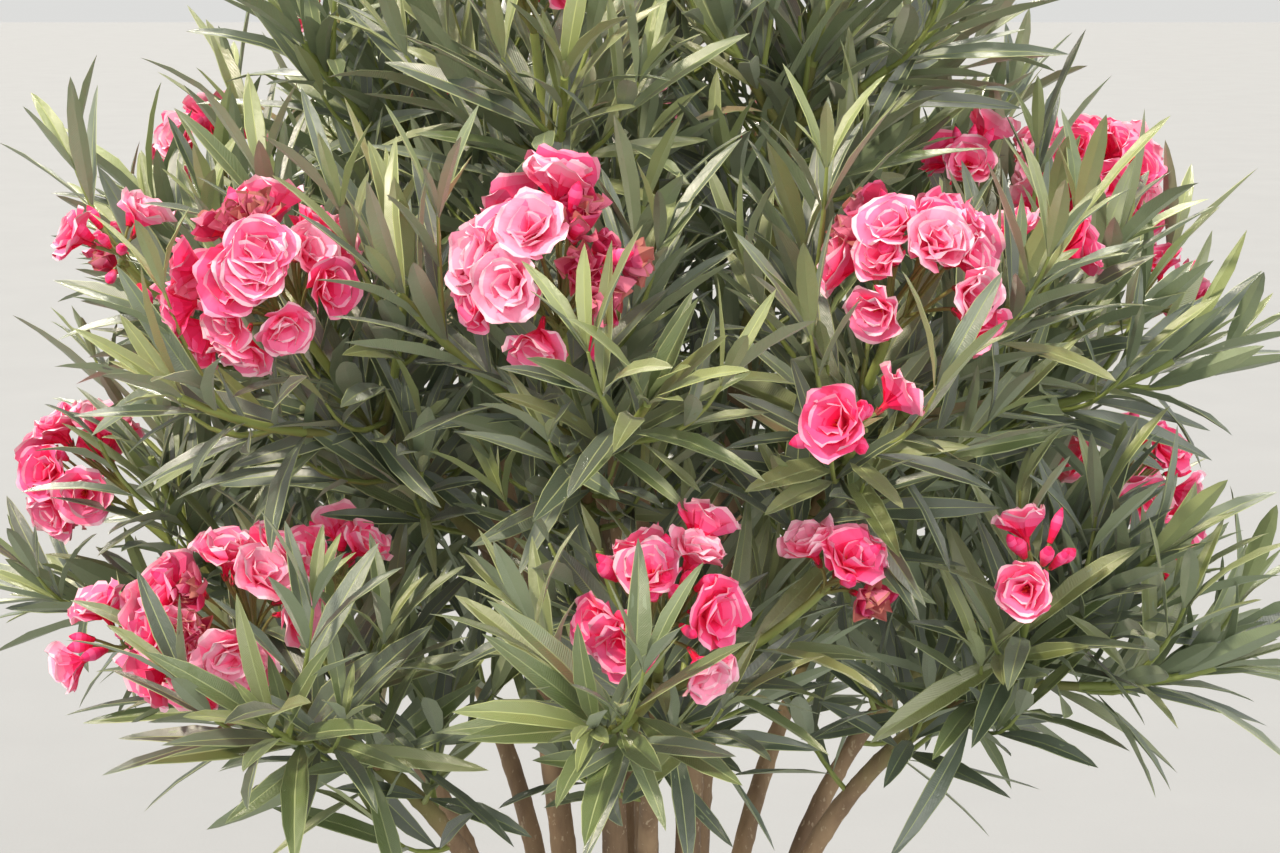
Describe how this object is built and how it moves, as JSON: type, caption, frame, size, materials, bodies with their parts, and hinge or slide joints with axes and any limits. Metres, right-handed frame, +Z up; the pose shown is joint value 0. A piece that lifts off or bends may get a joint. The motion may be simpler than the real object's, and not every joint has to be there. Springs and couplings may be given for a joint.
{
  "type": "potted oleander shrub",
  "caption": "Flowering oleander shrub in a plain clay pot, with many woody stems, whorled narrow leaves and heads of double pink blossom.",
  "frame": {"origin": "middle of the flat underside of the pot", "axes": "+Z up, -Y towards the side that the picture shows"},
  "size_m": [1.1905, 1.2182, 1.4694],
  "materials": {
    "terracotta": "unglazed fired clay, matt",
    "soil": "crumbly bark compost",
    "bark": "smooth grey-brown bark with pale flecks",
    "foliage": "leathery grey-green leaves with a soft sheen, and pink blossom"
  },
  "bodies": {
    "root": {"pot": "terracotta", "soil": "soil", "stem_crest_1": "bark", "foliage_crest_1": "foliage", "stem_upper_1": "bark", "stem_upper_2": "bark", "stem_upper_3": "bark", "stem_upper_4": "bark", "stem_upper_5": "bark", "foliage_upper_1": "foliage", "foliage_upper_2": "foliage", "foliage_upper_3": "foliage", "foliage_upper_4": "foliage", "foliage_upper_5": "foliage", "bough_middle_1": "bark", "bough_middle_2": "bark", "bough_middle_3": "bark", "bough_middle_4": "bark", "bough_middle_5": "bark", "bough_middle_6": "bark", "bough_middle_7": "bark", "bough_middle_8": "bark", "bough_middle_9": "bark", "bough_middle_10": "bark", "foliage_middle_1": "foliage", "foliage_middle_2": "foliage", "foliage_middle_3": "foliage", "foliage_middle_4": "foliage", "foliage_middle_5": "foliage", "foliage_middle_6": "foliage", "foliage_middle_7": "foliage", "foliage_middle_8": "foliage", "foliage_middle_9": "foliage", "foliage_middle_10": "foliage", "stem_lower_1": "bark", "stem_lower_2": "bark", "stem_lower_3": "bark", "stem_lower_4": "bark", "stem_lower_5": "bark", "stem_lower_6": "bark", "stem_lower_7": "bark", "stem_lower_8": "bark", "foliage_lower_1": "foliage", "foliage_lower_2": "foliage", "foliage_lower_3": "foliage", "foliage_lower_4": "foliage", "foliage_lower_5": "foliage", "foliage_lower_6": "foliage", "foliage_lower_7": "foliage", "foliage_lower_8": "foliage"}
  },
  "joints": []
}
